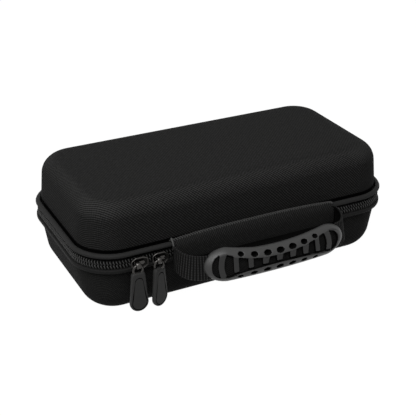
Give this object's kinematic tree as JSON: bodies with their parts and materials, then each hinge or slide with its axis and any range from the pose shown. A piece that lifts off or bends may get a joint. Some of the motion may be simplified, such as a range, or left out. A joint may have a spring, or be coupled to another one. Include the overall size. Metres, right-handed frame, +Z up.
{
  "type": "controller carrying case",
  "caption": "Oblong moulded hard case with a zip round three sides, a cloth hinge at the back, a strap handle with a ribbed rubber grip and a net pocket in the lid.",
  "frame": {"origin": "middle of the flat underside of the base, where the case rests", "axes": "+X along the length with the zip pulls at -X, -Y towards the handle, +Y towards the cloth hinge, +Z up"},
  "size_m": [0.25, 0.1637, 0.085],
  "materials": {
    "shell_fabric": "black diagonal-weave polyester laminated on moulded foam",
    "binding_fabric": "smooth black knit wrapped over the rim",
    "zip_chain": "black nylon coil on woven tape",
    "hinge_cloth": "black cloth strip",
    "pocket_mesh": "black net",
    "pocket_elastic": "black elastic",
    "band_fabric": "black diagonal-weave polyester",
    "webbing": "black ribbed nylon webbing",
    "grip_rubber": "black moulded rubber, satin",
    "slider_metal": "black nickel plate",
    "ring_metal": "black nickel plate",
    "tab_rubber": "black moulded rubber, matt"
  },
  "bodies": {
    "base": {"base_shell": "shell_fabric", "base_binding": "binding_fabric", "lower_zip_chain": "zip_chain", "hinge_strip": "hinge_cloth"},
    "lid": {"lid_shell": "shell_fabric", "lid_binding": "binding_fabric", "upper_zip_chain": "zip_chain", "lid_mesh_pocket": "pocket_mesh", "pocket_elastic": "pocket_elastic"},
    "handle": {"handle_band": "band_fabric", "handle_strap": "webbing", "handle_grip": "grip_rubber"},
    "left_slider_body": {"left_slider": "slider_metal"},
    "left_pull": {"left_pull_ring": "ring_metal", "left_pull_tab": "tab_rubber"},
    "right_slider_body": {"right_slider": "slider_metal"},
    "right_pull": {"right_pull_ring": "ring_metal", "right_pull_tab": "tab_rubber"}
  },
  "joints": [
    {"name": "lid_hinge", "type": "hinge", "parent": "base", "child": "lid", "pos_m": [0, 0.0651, 0.0434], "axis": [-1, 0, 0], "range_deg": [0, 175]},
    {"name": "handle_swing", "type": "hinge", "parent": "lid", "child": "handle", "pos_m": [0.0045, -0.0662, 0.0525], "axis": [-1, 0, 0], "range_deg": [0, 90]},
    {"name": "left_slider_slide", "type": "slide", "parent": "base", "child": "left_slider_body", "axis": [1, 0, 0], "range_m": [-0.005, 0]},
    {"name": "left_pull_swing", "type": "hinge", "parent": "left_slider_body", "child": "left_pull", "pos_m": [-0.0895, -0.06923, 0.0437], "axis": [-1, 0, 0], "range_deg": [0, 150]},
    {"name": "right_slider_slide", "type": "slide", "parent": "base", "child": "right_slider_body", "axis": [1, 0, 0], "range_m": [-0.0015, 0.0013]},
    {"name": "right_pull_swing", "type": "hinge", "parent": "right_slider_body", "child": "right_pull", "pos_m": [-0.074, -0.06923, 0.0437], "axis": [-1, 0, 0], "range_deg": [0, 150]}
  ]
}
